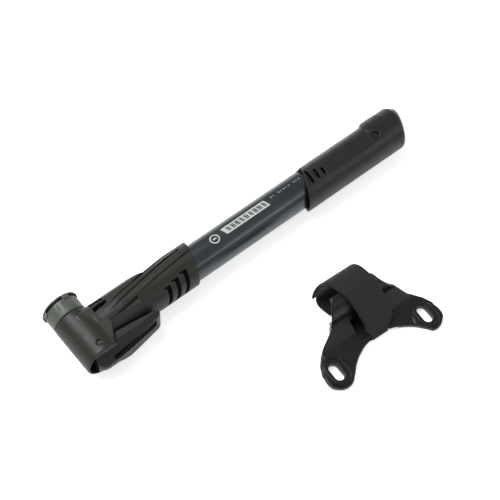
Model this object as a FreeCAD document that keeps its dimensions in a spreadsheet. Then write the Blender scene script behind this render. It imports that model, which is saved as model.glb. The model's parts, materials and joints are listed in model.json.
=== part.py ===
import FreeCAD, Part
import math
import os
import re
import Sketcher

# Bicycle mini pump with its frame bracket.
# Millimetres, +Z up, floor at z = 0.  The barrel lies along +X: head at -X, handle at +X.
# The valve opening faces +Y and the thumb lever is on the -Y side.
# Pump pieces are drawn about the barrel axis and moved to (pump_x, axis_y, axis_z) by their Placement.
# Bracket pieces are drawn about the middle of the two slots, with the floor at z = 0.

DIMENSIONS = {
    # places in the frame
    "pump_x": 2.47,
    "axis_y": 44.67,
    "axis_z": 12.9,
    "bracket_along": 16.9,
    "bracket_away": 102.0,
    "bracket_turn": -3.1,
    # barrel and its fittings
    "barrel_r": 10.5,
    "barrel_bore_r": 9.3,
    "barrel_start": -80.0,
    "barrel_end": 90.0,
    "gasket_thick": 1.0,
    "gasket_bore_r": 6.3,
    "valve_seat_thick": 3.0,
    "valve_room_r": 6.2,
    "valve_room_deep": 4.2,
    "flap_r": 5.0,
    "flap_thick": 1.2,
    "flap_stem_r": 1.2,
    "vent_r": 0.9,
    "vent_ring_r": 3.4,
    "bush_long": 12.0,
    "bush_flange_r": 10.45,
    "bush_flange_thick": 1.5,
    "wiper_thick": 2.4,
    "wiper_r": 5.6,
    # rod, piston and what ties the rod to the handle
    "rod_r": 4.0,
    "rod_play": 0.05,
    "rod_start": -72.0,
    "rod_end": 106.0,
    "piston_r": 9.2,
    "piston_start": -75.4,
    "piston_long": 13.4,
    "ring_r": 9.26,
    "ring_inner_r": 7.4,
    "ring_thick": 2.8,
    "ring_start": -71.0,
    "socket_start": 93.5,
    "socket_end": 108.0,
    "cross_pin_x": 97.0,
    "cross_pin_r": 1.7,
    "cross_pin_low": 2.0,
    "cross_pin_top": 11.2,
    "cross_pin_lean": 15.0,
    # handle
    "grip_r": 12.0,
    "grip_bore_r": 11.0,
    "grip_front": 44.3,
    "grip_slant": 24.5,
    "hump_r": 12.9,
    "hump_start": 101.0,
    "handle_end": 118.5,
    "end_slant": 16.0,
    "end_round": 3.5,
    "cap_r": 9.4,
    "cap_thick": 2.4,
    "cap_proud": 0.5,
    "handle_gill_x": 48.0,
    "handle_gill_step": 4.3,
    "handle_gill_wide": 1.8,
    "handle_gill_long": 8.6,
    # head
    "tee_x": -113.7,
    "tee_r": 12.3,
    "tee_back": 17.2,
    "tee_bend": -3.0,
    "tee_front": 13.3,
    "tee_cone_long": 18.0,
    "tee_far_r": 10.76,
    "tee_lean": 4.6,
    "tee_bore_r": 8.0,
    "valve_x": -115.0,
    "spigot_r": 9.1,
    "spigot_end": 20.4,
    "cavity_r": 10.1,
    "cavity_top": 8.35,
    "cavity_low": 9.25,
    "shoulder_y": -5.9,
    "neck_half": 10.3,
    "neck_near": 9.6,
    "neck_far": 12.4,
    "neck_r": 13.0,
    "deck_far": 8.4,
    "deck_half": 11.2,
    "sleeve_r": 12.0,
    "sleeve_start": -82.0,
    "sleeve_end": -39.2,
    "sleeve_slant": 15.6,
    "arm_r": 12.9,
    "arm_wide": 9.5,
    "arm_turn": 9.3,
    "arm_x": -72.0,
    "arm_y": 3.5,
    "arm_long": 71.0,
    "gallery_r": 1.6,
    "gill_x": -62.0,
    "gill_step": 6.1,
    "gill_wide": 2.2,
    "gill_rise": 1.6,
    "window_start": -104.0,
    "window_long": 9.4,
    "window_wide": 2.3,
    # thumb lever, its pin and cam
    "pin_y": -12.6,
    "pin_r": 1.5,
    "pin_half": 11.3,
    "pin_recess_r": 2.5,
    "pin_recess_z": 11.2,
    "pin_play": 0.05,
    "lever_top": 8.0,
    "lever_low": -8.9,
    "lever_hub_r": 9.7,
    "lever_sweep_r": 9.7,
    "lever_left": 6.2,
    "lever_near": 5.0,
    "lever_facet": -15.9,
    "cam_low_h": 4.2,
    "cam_lift": 2.5,
    "cam_half": 5.5,
    # clamp plunger and valve seal
    "plunger_r": 7.94,
    "plunger_back": -5.4,
    "plunger_thick": 3.5,
    "boss_r": 4.8,
    "boss_gap": 0.12,
    "nose_r": 5.5,
    "nose_long": 1.3,
    "nose_bore_r": 2.4,
    "oring_start": -4.4,
    "oring_thick": 1.5,
    "oring_inner_r": 6.6,
    "oring_r": 7.97,
    "seal_start": 2.2,
    "seal_bore_r": 3.95,
    # collar
    "collar_r": 10.8,
    "collar_start": 13.5,
    "collar_end": 23.5,
    "collar_wall": 2.0,
    "collar_mouth_r": 5.4,
    "thread_play": 0.06,
    "grip_cuts": 20.0,
    "grip_cut_wide": 0.7,
    "grip_cut_deep": 0.45,
    "end_ring_r": 11.6,
    "end_ring_bore_r": 7.5,
    "end_ring_thick": 1.8,
    "tab_r": 11.8,
    "tab_wide": 4.2,
    "tab_turn": 20.0,
    # bracket
    "plate_thick": 3.2,
    "slot_half_gap": 32.0,
    "slot_half_wide": 2.7,
    "slot_half_long": 5.6,
    "ear_r": 8.3,
    "ear_shift": 0.7,
    "ear_low": -2.6,
    "rim_wide": 2.6,
    "rim_high": 1.1,
    "arch_r": 32.5,
    "arch_y": -26.9,
    "ramp_start": 13.2,
    "cradle_y": 34.5,
    "cradle_z": 13.1,
    "cradle_r": 12.7,
    "cradle_bore_r": 11.0,
    "channel_high": 1.9,
    # strap
    "strap_mid": 2.2,
    "strap_wide": 20.0,
    "strap_play": 0.6,
    "strap_thick": 1.7,
    "patch_thick": 1.0,
}

FACES = {"x": FreeCAD.Rotation(FreeCAD.Vector(0, 1, 0), 90),
         "y": FreeCAD.Rotation(FreeCAD.Vector(1, 0, 0), -90),
         "z": FreeCAD.Rotation()}

doc = FreeCAD.newDocument("mini_pump")
sheet = doc.addObject("Spreadsheet::Sheet", "sizes")
subparts = []


def fill_sheet():
    for row, (alias, value) in enumerate(DIMENSIONS.items(), start=1):
        sheet.set("A%d" % row, alias)
        sheet.set("B%d" % row, str(value))
        sheet.setAlias("B%d" % row, alias)
    doc.recompute()


def linked(formula):
    """The formula with each dimension's name pointed at the sheet."""
    return re.sub(r"[a-z][a-z_]+", lambda word: "sizes." + word.group(0)
                  if word.group(0) in DIMENSIONS else word.group(0), formula)


def bind(thing, name, formula):
    thing.setExpression(name, linked(formula))


def place(thing, at, turn=FreeCAD.Rotation()):
    thing.Placement = FreeCAD.Placement(FreeCAD.Vector(0, 0, 0), turn)
    for letter, formula in zip("xyz", at):
        bind(thing, "Placement.Base." + letter, formula)


# ---------------------------------------------------------------- shapes bound to the sheet

def rod_shape(name, radius, start, end, axis="x", at=("0", "0", "0")):
    """A round bar along a row axis, from start to end, with its axis through at."""
    bar = doc.addObject("Part::Cylinder", name)
    bind(bar, "Radius", radius)
    bind(bar, "Height", "(%s) - (%s)" % (end, start))
    base = list(at)
    base["xyz".index(axis)] = start
    place(bar, base, FACES[axis])
    return bar


def block(name, low, high):
    """A box between two corners."""
    brick = doc.addObject("Part::Box", name)
    for prop, a, b in zip(("Length", "Width", "Height"), low, high):
        bind(brick, prop, "(%s) - (%s)" % (b, a))
    place(brick, low)
    return brick


def slab_beyond(name, at_x, slant, side):
    """A big block past a plane across the barrel; the plane leans by slant degrees about Z."""
    reach = 60
    slab = doc.addObject("Part::Box", name)
    slab.Length = reach
    slab.Width = 2 * reach
    slab.Height = 2 * reach
    turn = FreeCAD.Rotation(FreeCAD.Vector(0, 0, 1), -DIMENSIONS[slant])
    back = -reach if side < 0 else 0
    corner = turn.multVec(FreeCAD.Vector(back, -reach, 0))
    place(slab, ("%s + %.6f" % (at_x, corner.x), "%.6f" % corner.y, "%d" % -reach), turn)
    return slab


def cut(name, base, *tools):
    result = doc.addObject("Part::Cut", name)
    result.Base = base
    result.Tool = tools[0] if len(tools) == 1 else fuse(name + "_tools", *tools)
    return result


def fuse(name, *pieces):
    result = doc.addObject("Part::MultiFuse", name)
    result.Shapes = list(pieces)
    return result


def common(name, *pieces):
    result = doc.addObject("Part::MultiCommon", name)
    result.Shapes = list(pieces)
    return result


def tube(name, outer, inner, start, end, axis="x", at=("0", "0", "0")):
    return cut(name, rod_shape(name + "_outside", outer, start, end, axis, at),
               rod_shape(name + "_inside", inner, "(%s) - 1" % start, "(%s) + 1" % end, axis, at))


def new_sketch(body, plane, name):
    sketch = body.newObject("Sketcher::SketchObject", name)
    origin = [face for face in body.Origin.OriginFeatures if face.Role == plane][0]
    sketch.AttachmentSupport = [(origin, "")]
    sketch.MapMode = "FlatFace"
    return sketch


def outline(sketch, corners):
    """A closed outline of straight edges, each corner held to the sheet by its two distances."""
    count = len(corners)
    first = sketch.GeometryCount
    ring = [FreeCAD.Vector(10 * math.cos(2 * math.pi * i / count), 10 * math.sin(2 * math.pi * i / count), 0)
            for i in range(count)]
    for i in range(count):
        sketch.addGeometry(Part.LineSegment(ring[i], ring[(i + 1) % count]), False)
    for i in range(count):
        sketch.addConstraint(Sketcher.Constraint("Coincident", first + i, 2, first + (i + 1) % count, 1))
    for i, (across, up) in enumerate(corners):
        for kind, formula, guess in (("DistanceX", across, ring[i].x), ("DistanceY", up, ring[i].y)):
            index = sketch.addConstraint(Sketcher.Constraint(kind, -1, 1, first + i, 1, guess))
            bind(sketch, "Constraints[%d]" % index, formula)


def prism(name, plane, corners, low, high):
    """A flat outline on an origin plane, padded from low to high along the plane's row axis."""
    body = doc.addObject("PartDesign::Body", name)
    sketch = new_sketch(body, plane, name + "_sketch")
    outline(sketch, corners)
    pad = body.newObject("PartDesign::Pad", name + "_pad")
    pad.Profile = sketch
    bind(pad, "Length", "(%s) - (%s)" % (high, low))
    pad.Midplane = True
    letter = {"XY_Plane": "z", "XZ_Plane": "y", "YZ_Plane": "x"}[plane]
    bind(body, "Placement.Base." + letter, "((%s) + (%s)) / 2" % (low, high))
    return body


def hand_over(result, label, at, turn=FreeCAD.Rotation()):
    """Name a finished sub-part and move it to its place in the frame."""
    result.Label = label
    place(result, at, turn)
    subparts.append(result)


PUMP = ("pump_x", "axis_y", "axis_z")
BRACKET = ("pump_x + bracket_along", "axis_y - bracket_away", "0")


# ---------------------------------------------------------------- pump head

def head_body():
    tee = rod_shape("tee", "tee_r", "-tee_back", "tee_bend", "y", ("tee_x", "0", "0"))
    cone = doc.addObject("Part::Cone", "tee_cone")
    bind(cone, "Radius1", "tee_r - 0.04")
    bind(cone, "Radius2", "tee_far_r")
    bind(cone, "Height", "tee_cone_long")
    lean = FreeCAD.Rotation(FreeCAD.Vector(0, 0, 1), DIMENSIONS["tee_lean"])
    place(cone, ("tee_x", "tee_bend", "0"), lean * FACES["y"])
    tee_end = common("tee_end", cone, rod_shape("tee_end_room", "tee_r + 2", "tee_bend - 3", "tee_front", "y",
                                                ("tee_x", "0", "0")))
    spigot = rod_shape("spigot", "spigot_r", "tee_front - 1", "spigot_end", "y", ("valve_x", "0", "0"))
    sleeve = rod_shape("sleeve", "sleeve_r", "sleeve_start", "sleeve_end + 20")
    web = prism("web", "XY_Plane",
                 [("tee_x + 4", "-neck_near"), ("-100", "-neck_near"), ("-78", "-neck_near - 2"),
                  ("-72", "-neck_near - 2"), ("-68", "neck_far - 4"), ("-76", "neck_far"),
                  ("tee_x + 4", "neck_far")], "-neck_half", "neck_half")
    neck = common("neck", web, rod_shape("neck_round", "neck_r", "tee_x", "-60"))
    flat = prism("flat", "XY_Plane",
                 [("tee_x", "-tee_back"), ("tee_x + 6.2", "-tee_back"), ("tee_x + 13.4", "-6.3"),
                  ("tee_x + 16", "neck_far"), ("tee_x", "neck_far")], "-deck_half", "deck_half")
    slope = prism("deck_slope", "YZ_Plane",
                  [("deck_far", "-deck_half - 0.1"), ("neck_far + 0.1", "-4.5"), ("neck_far + 0.1", "4.5"),
                   ("deck_far", "deck_half + 0.1"), ("20", "deck_half + 0.1"), ("20", "-deck_half - 0.1")],
                  "tee_x - 1", "tee_x + 20")
    deck = cut("deck", flat, slope)
    arm_round = rod_shape("arm_round", "arm_r", "arm_x - arm_long / 2", "arm_x + arm_long / 2 + 4")
    arm_band = doc.addObject("Part::Box", "arm_band")
    bind(arm_band, "Length", "arm_long")
    bind(arm_band, "Width", "arm_wide")
    arm_band.Height = 40
    arm_turn = FreeCAD.Rotation(FreeCAD.Vector(0, 0, 1), DIMENSIONS["arm_turn"])
    place(arm_band, ("arm_x - arm_long / 2 * cos(arm_turn) + arm_wide / 2 * sin(arm_turn)",
                     "arm_y - arm_long / 2 * sin(arm_turn) - arm_wide / 2 * cos(arm_turn)", "-20"), arm_turn)
    arm = common("arm", arm_round, arm_band)
    solid = fuse("head_solid", tee, tee_end, spigot, sleeve, neck, deck, arm)

    hub_room = common("hub_room",
                      rod_shape("hub_room_round", "cavity_r", "-tee_back - 1", "shoulder_y", "y",
                                ("tee_x", "0", "0")),
                      block("hub_room_block", ("tee_x - 20", "-30", "-cavity_low"),
                            ("tee_x + 20", "0", "cavity_top")))
    lever_room = prism("lever_room", "XY_Plane",
                       [("tee_x", "-22"), ("-62", "-22"), ("-62", "-14.6"), ("-78", "-neck_near - 2.6"),
                        ("-100", "-neck_near"), ("tee_x", "-neck_near")], "-cavity_low", "cavity_top")
    tools = [hub_room, lever_room,
             rod_shape("tee_bore", "tee_bore_r", "shoulder_y - 1", "spigot_end + 1", "y",
                       ("valve_x", "0", "0")),
             rod_shape("gallery", "gallery_r", "valve_x", "barrel_start"),
             rod_shape("valve_room", "valve_room_r", "barrel_start - gasket_thick - valve_room_deep",
                       "barrel_start"),
             rod_shape("barrel_socket", "barrel_r", "barrel_start - gasket_thick", "sleeve_end + 30"),
             slab_beyond("sleeve_trim", "sleeve_end", "sleeve_slant", 1),
             rod_shape("pin_hole", "pin_r", "-pin_half", "pin_half", "z", ("tee_x", "pin_y", "0")),
             rod_shape("pin_recess_top", "pin_recess_r", "pin_recess_z", "tee_r + 1", "z",
                       ("tee_x", "pin_y", "0")),
             rod_shape("pin_recess_low", "pin_recess_r", "-tee_r - 1", "-pin_recess_z", "z",
                       ("tee_x", "pin_y", "0"))]
    for index, low_y in enumerate(("4.6", "8.9")):
        tools.append(block("window_%d" % index, ("window_start", low_y, "-20"),
                           ("window_start + window_long", "(%s) + window_wide" % low_y, "20")))
    for index in range(3):
        start = "gill_x + gill_step * %d" % index
        tools.append(block("gill_%d" % index, (start, "-14", "-3.5"),
                           (start + " + gill_wide", "-7.2 + gill_rise * %d" % index, "14")))
    hand_over(cut("head", solid, *tools), "head_body", PUMP)


def lever_pin():
    at = ("tee_x", "pin_y", "0")
    pin = fuse("pin_piece",
               rod_shape("pin_bar", "pin_r", "-pin_half", "pin_half", "z", at),
               rod_shape("pin_tip_top", "pin_r - 0.3", "pin_half - 1", "pin_half + 0.3", "z", at),
               rod_shape("pin_tip_low", "pin_r - 0.3", "-pin_half - 0.3", "-pin_half + 1", "z", at))
    hand_over(pin, "lever_pin", PUMP)


# ---------------------------------------------------------------- thumb lever

def cam_shape():
    """The cam's profile: an involute, so that its lift grows evenly with the lever's turn."""
    low = float(sheet.get("cam_low_h"))
    rise = float(sheet.get("cam_lift")) / (math.pi / 2)
    half = float(sheet.get("cam_half"))
    steps = 12
    curve_points = []
    for i in range(steps + 1):
        facing = math.pi / 2 * (1 + i / steps)
        reach = low + rise * (facing - math.pi / 2)
        curve_points.append(FreeCAD.Vector(reach * math.cos(facing) - rise * math.sin(facing),
                                           reach * math.sin(facing) + rise * math.cos(facing), -half))
    curve = Part.BSplineCurve()
    curve.interpolate(curve_points)
    first, last = curve_points[0], curve_points[-1]
    corners = [last, FreeCAD.Vector(last.x, -3, -half), FreeCAD.Vector(3, -3, -half),
               FreeCAD.Vector(3, first.y, -half), first]
    edges = [curve.toShape()] + [Part.makeLine(a, b) for a, b in zip(corners, corners[1:])]
    face = Part.Face(Part.Wire(Part.__sortEdges__(edges)))
    cam = doc.addObject("Part::Feature", "cam")
    cam.Shape = face.extrude(FreeCAD.Vector(0, 0, 2 * half))
    place(cam, ("tee_x", "pin_y", "0"))
    return cam


def thumb_lever():
    plan = [("tee_x", "-9.3"), ("tee_x + 4.7", "-9.8"), ("-101", "-10.7"), ("-76.6", "-13.5"),
            ("-74.8", "-15"), ("-74.8", "-16.8"), ("-76.6", "-17.8"), ("-86", "-19.6"), ("-95.5", "-21.2"),
            ("-104", "-22.2"), ("tee_x", "-22.3")]
    bar = prism("lever_bar", "XY_Plane", plan, "lever_low", "lever_top")
    outer_part = common("lever_outer", bar,
                        block("lever_outer_room", ("tee_x + lever_near", "-30", "-12"), ("-70", "0", "12")))
    inner_part = common("lever_inner", bar,
                        block("lever_inner_room", ("tee_x", "-30", "-12"), ("tee_x + lever_near", "0", "12")),
                        rod_shape("lever_sweep", "lever_sweep_r", "tee_x - 1", "tee_x + lever_near + 1", "x",
                                  ("0", "pin_y", "0")))
    ball = doc.addObject("Part::Sphere", "hub_ball")
    bind(ball, "Radius", "lever_hub_r")
    place(ball, ("tee_x", "pin_y", "0"))
    hub = common("lever_hub", ball,
                 block("hub_quarter", ("tee_x - lever_left", "-30", "lever_low"),
                       ("tee_x + 0.01", "pin_y", "lever_top")))
    facet = prism("lever_facet_tool", "YZ_Plane",
                  [("lever_facet + 3", "lever_top + 3"), ("lever_facet - 14", "lever_top - 14"),
                   ("lever_facet - 14", "lever_top + 3")], "tee_x - 12", "-60")
    slot = prism("lever_slot_tool", "XZ_Plane",
                 [("-110", "2.6"), ("-78", "2.6"), ("-78", "-2.6"), ("-110", "-0.8")], "-24", "-15.3")
    hole = rod_shape("lever_hole", "pin_r + pin_play", "-12", "12", "z", ("tee_x", "pin_y", "0"))
    solid = fuse("lever_solid", outer_part, inner_part, hub, cam_shape())
    hand_over(cut("lever", solid, facet, slot, hole), "thumb_lever", PUMP)


# ---------------------------------------------------------------- valve clamp

def clamp_plunger():
    tee_axis = ("valve_x", "0", "0")
    disc_end = "plunger_back + plunger_thick"
    boss_start = "pin_y + cam_low_h + boss_gap"
    solid = fuse("plunger_solid",
                 rod_shape("plunger_disc", "plunger_r", "plunger_back", disc_end, "y", tee_axis),
                 rod_shape("plunger_boss", "boss_r", boss_start, "plunger_back + 1", "y", tee_axis),
                 rod_shape("plunger_nose", "nose_r", disc_end + " - 1", disc_end + " + nose_long", "y", tee_axis))
    groove = tube("oring_groove", "plunger_r + 1", "oring_inner_r", "oring_start",
                  "oring_start + oring_thick", "y", tee_axis)
    air_hole = rod_shape("nose_bore", "nose_bore_r", "plunger_back + 2", disc_end + " + nose_long + 1", "y",
                         tee_axis)
    hand_over(cut("plunger", solid, groove, air_hole), "clamp_plunger", PUMP)
    hand_over(tube("oring", "oring_r", "oring_inner_r", "oring_start", "oring_start + oring_thick", "y",
                   tee_axis), "plunger_oring", PUMP)


def valve_seal():
    hand_over(tube("seal", "tee_bore_r", "seal_bore_r", "seal_start", "spigot_end - 0.1", "y",
                   ("valve_x", "0", "0")), "valve_seal", PUMP)


def collar():
    """The screwed collar and its end ring, drawn along Y about the valve tube."""
    axis = ("valve_x", "0", "0")
    wall = rod_shape("collar_outside", "collar_r", "collar_start", "collar_end", "y", axis)
    thread = rod_shape("collar_thread", "spigot_r + thread_play", "collar_start - 1",
                       "collar_end - collar_wall", "y", axis)
    mouth = rod_shape("collar_mouth", "collar_mouth_r", "collar_start", "collar_end + 1", "y", axis)
    cuts = [thread, mouth]
    for index in range(int(DIMENSIONS["grip_cuts"])):
        turn = 360.0 / DIMENSIONS["grip_cuts"] * (index + 0.5)
        groove = doc.addObject("Part::Box", "grip_cut_%d" % index)
        bind(groove, "Length", "grip_cut_wide")
        bind(groove, "Width", "collar_end - collar_start - 3")
        bind(groove, "Height", "2")
        spin = FreeCAD.Rotation(FreeCAD.Vector(0, 1, 0), turn)
        side, out = spin.multVec(FreeCAD.Vector(1, 0, 0)), spin.multVec(FreeCAD.Vector(0, 0, 1))
        reach = "(collar_r - grip_cut_deep)"
        place(groove, ("valve_x + %s * %.6f - grip_cut_wide / 2 * %.6f" % (reach, out.x, side.x),
                       "collar_start + 2",
                       "%s * %.6f - grip_cut_wide / 2 * %.6f" % (reach, out.z, side.z)), spin)
        cuts.append(groove)
    tab_ring = tube("tab_ring", "tab_r", "collar_r - 0.8", "collar_end - 1.6", "collar_end + end_ring_thick",
                    "y", axis)
    bars = []
    for index in range(2):
        bar = doc.addObject("Part::Box", "tab_bar_%d" % index)
        bar.Length = 60
        bar.Width = 20
        bind(bar, "Height", "tab_wide")
        spin = FreeCAD.Rotation(FreeCAD.Vector(0, 1, 0), DIMENSIONS["tab_turn"] + 90 * index)
        middle = spin.multVec(FreeCAD.Vector(30, 0, DIMENSIONS["tab_wide"] / 2))
        place(bar, ("valve_x - %.6f" % middle.x, "collar_end - 10", "-%.6f" % middle.z), spin)
        bars.append(bar)
    tabs = common("tabs", tab_ring, fuse("tab_bars", *bars))
    hand_over(cut("collar_cut", fuse("collar_solid", wall, tabs), *cuts), "valve_collar", PUMP)
    ring = tube("end_ring_full", "end_ring_r", "end_ring_bore_r", "collar_end",
                "collar_end + end_ring_thick", "y", axis)
    hand_over(cut("end_ring_cut", ring, tabs), "collar_end_ring", PUMP)


# ---------------------------------------------------------------- barrel and valve

def barrel():
    hand_over(tube("barrel", "barrel_r", "barrel_bore_r", "barrel_start", "barrel_end"), "barrel_tube", PUMP)
    hand_over(tube("gasket", "barrel_r", "gasket_bore_r", "barrel_start - gasket_thick", "barrel_start"),
              "barrel_gasket", PUMP)
    seat = rod_shape("seat_disc", "barrel_bore_r", "barrel_start", "barrel_start + valve_seat_thick")
    holes = [rod_shape("seat_hole", "flap_stem_r", "barrel_start - 1", "barrel_start + 5")]
    for index in range(6):
        angle = math.radians(60 * index)
        holes.append(rod_shape("vent_%d" % index, "vent_r", "barrel_start - 1", "barrel_start + 5", "x",
                               ("0", "vent_ring_r * %.6f" % math.cos(angle),
                                "vent_ring_r * %.6f" % math.sin(angle))))
    hand_over(cut("seat", seat, *holes), "check_valve_seat", PUMP)
    flap = fuse("flap",
                rod_shape("flap_disc", "flap_r", "barrel_start - flap_thick", "barrel_start"),
                rod_shape("flap_stem", "flap_stem_r", "barrel_start - 0.5",
                          "barrel_start + valve_seat_thick + 0.5"),
                rod_shape("flap_knob", "flap_stem_r + 0.7", "barrel_start + valve_seat_thick",
                          "barrel_start + valve_seat_thick + 0.6"))
    hand_over(flap, "check_valve_flap", PUMP)
    bush = fuse("bush_solid",
                rod_shape("bush_body", "barrel_bore_r", "barrel_end - bush_long", "barrel_end"),
                rod_shape("bush_flange", "bush_flange_r", "barrel_end", "barrel_end + bush_flange_thick"))
    bush_bore = rod_shape("bush_bore", "rod_r + rod_play", "barrel_end - bush_long - 1", "barrel_end + 5")
    wiper_room = rod_shape("wiper_room", "wiper_r", "barrel_end - 6", "barrel_end - 6 + wiper_thick")
    hand_over(cut("bush", bush, bush_bore, wiper_room), "rod_guide_bush", PUMP)
    hand_over(tube("wiper", "wiper_r", "rod_r + rod_play", "barrel_end - 6", "barrel_end - 6 + wiper_thick"),
              "rod_wiper", PUMP)


# ---------------------------------------------------------------- handle, rod and piston

def cross_pin_shape(name, low, high, extra="0"):
    """The pin or its hole: radial, leaning from +Z towards -Y."""
    bar = doc.addObject("Part::Cylinder", name)
    bind(bar, "Radius", "cross_pin_r + (%s)" % extra)
    bind(bar, "Height", "(%s) - (%s)" % (high, low))
    lean = FreeCAD.Rotation(FreeCAD.Vector(1, 0, 0), DIMENSIONS["cross_pin_lean"])
    place(bar, ("cross_pin_x", "-(%s) * sin(cross_pin_lean)" % low, "(%s) * cos(cross_pin_lean)" % low), lean)
    return bar


def round_end(solid):
    """Round the handle's outer end edge."""
    doc.recompute()
    far = DIMENSIONS["handle_end"] - 12
    edges = [i for i, edge in enumerate(solid.Shape.Edges, start=1)
             if edge.CenterOfMass.x > far and edge.BoundBox.YLength > 20 and edge.BoundBox.XLength > 5]
    rounded = doc.addObject("Part::Fillet", "handle_rounded")
    rounded.Base = solid
    radius = DIMENSIONS["end_round"]
    rounded.Edges = [(i, radius, radius) for i in edges]
    return rounded


def end_cap_blank(name):
    """A slanted disc for the handle's end, cap_thick deep and cap_proud out of the end face."""
    bar = rod_shape(name + "_bar", "cap_r", "handle_end - 20", "handle_end + 20")
    return cut(name, bar,
               slab_beyond(name + "_outer", "handle_end + cap_proud", "end_slant", 1),
               slab_beyond(name + "_inner", "handle_end - cap_thick", "end_slant", -1))


def handle():
    body = fuse("handle_bars",
                rod_shape("grip_bar", "grip_r", "grip_front - 20", "hump_start + 1"),
                rod_shape("hump_bar", "hump_r", "hump_start", "handle_end + 20"))
    blank = cut("handle_blank", body,
                slab_beyond("grip_trim", "grip_front", "grip_slant", -1),
                slab_beyond("end_trim", "handle_end", "end_slant", 1))
    tools = [rod_shape("grip_bore", "grip_bore_r", "grip_front - 20", "socket_end"),
             end_cap_blank("cap_room"),
             cross_pin_shape("handle_pin_hole", "5", "20", "0.3")]
    for index in range(3):
        start = "handle_gill_x + handle_gill_step * %d" % index
        tools.append(block("handle_gill_%d" % index, (start, "-5.6 + 1.1 * %d" % index, "6"),
                           (start + " + handle_gill_wide",
                            "-5.6 + 1.1 * %d + handle_gill_long - 2.2 * %d" % (index, index), "14")))
    hand_over(cut("handle", round_end(blank), *tools), "handle_grip", PUMP)
    hand_over(end_cap_blank("cap"), "handle_end_cap", PUMP)
    rod = rod_shape("rod_bar", "rod_r", "rod_start", "rod_end")
    hand_over(cut("rod", rod, cross_pin_shape("rod_pin_hole", "cross_pin_low", "20")), "piston_rod", PUMP)
    socket = cut("socket", rod_shape("socket_bar", "grip_bore_r", "socket_start", "socket_end"),
                 rod_shape("socket_bore", "rod_r", "socket_start - 1", "rod_end"),
                 cross_pin_shape("socket_pin_hole", "cross_pin_low", "20"))
    hand_over(socket, "rod_socket", PUMP)
    cross_pin = fuse("cross_pin", cross_pin_shape("cross_pin_bar", "cross_pin_low", "cross_pin_top"),
                     cross_pin_shape("cross_pin_tip", "cross_pin_low + 1", "cross_pin_top + 0.3", "-0.3"))
    hand_over(cross_pin, "handle_cross_pin", PUMP)


def piston():
    body = rod_shape("piston_bar", "piston_r", "piston_start", "piston_start + piston_long")
    rod_room = rod_shape("piston_bore", "rod_r", "rod_start", "piston_start + piston_long + 1")
    groove = tube("ring_groove", "piston_r + 1", "ring_inner_r", "ring_start", "ring_start + ring_thick")
    hand_over(cut("piston", body, rod_room, groove), "piston", PUMP)
    hand_over(tube("piston_ring", "ring_r", "ring_inner_r", "ring_start", "ring_start + ring_thick"),
              "piston_seal_ring", PUMP)


# ---------------------------------------------------------------- frame bracket

def bracket_turned(result, label):
    turn = FreeCAD.Rotation(FreeCAD.Vector(0, 0, 1), DIMENSIONS["bracket_turn"])
    hand_over(result, label, BRACKET, turn)


def stadium(name, half_wide, half_long, low, high, side):
    """An upright slot shape at one ear: two round bars and the block between them."""
    at_x = "%d * slot_half_gap" % side
    reach = "((%s) - (%s))" % (half_long, half_wide)
    ends = [rod_shape("%s_end_%d" % (name, sign), half_wide, low, high, "z", (at_x, "%d * %s" % (sign, reach), "0"))
            for sign in (-1, 1)]
    middle = block(name + "_middle", ("%s - (%s)" % (at_x, half_wide), "-" + reach, low),
                   ("%s + (%s)" % (at_x, half_wide), reach, high))
    return fuse(name, *(ends + [middle]))


def cradle():
    """The trough for the barrel: a curved wall over the near half of the barrel's place."""
    axis = ("0", "cradle_y", "cradle_z")
    shell = tube("cradle_shell", "cradle_r", "cradle_bore_r", "-18", "18", "x", axis)
    keep = prism("cradle_keep", "YZ_Plane",
                 [("cradle_y", "cradle_z"), ("cradle_y + 1.5", "cradle_z + 20"),
                  ("cradle_y - 30", "cradle_z + 20"), ("cradle_y - 30", "cradle_z - 20"),
                  ("cradle_y - 9.5", "cradle_z - 13")], "-19", "19")
    return common("cradle", shell, keep)


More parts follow.
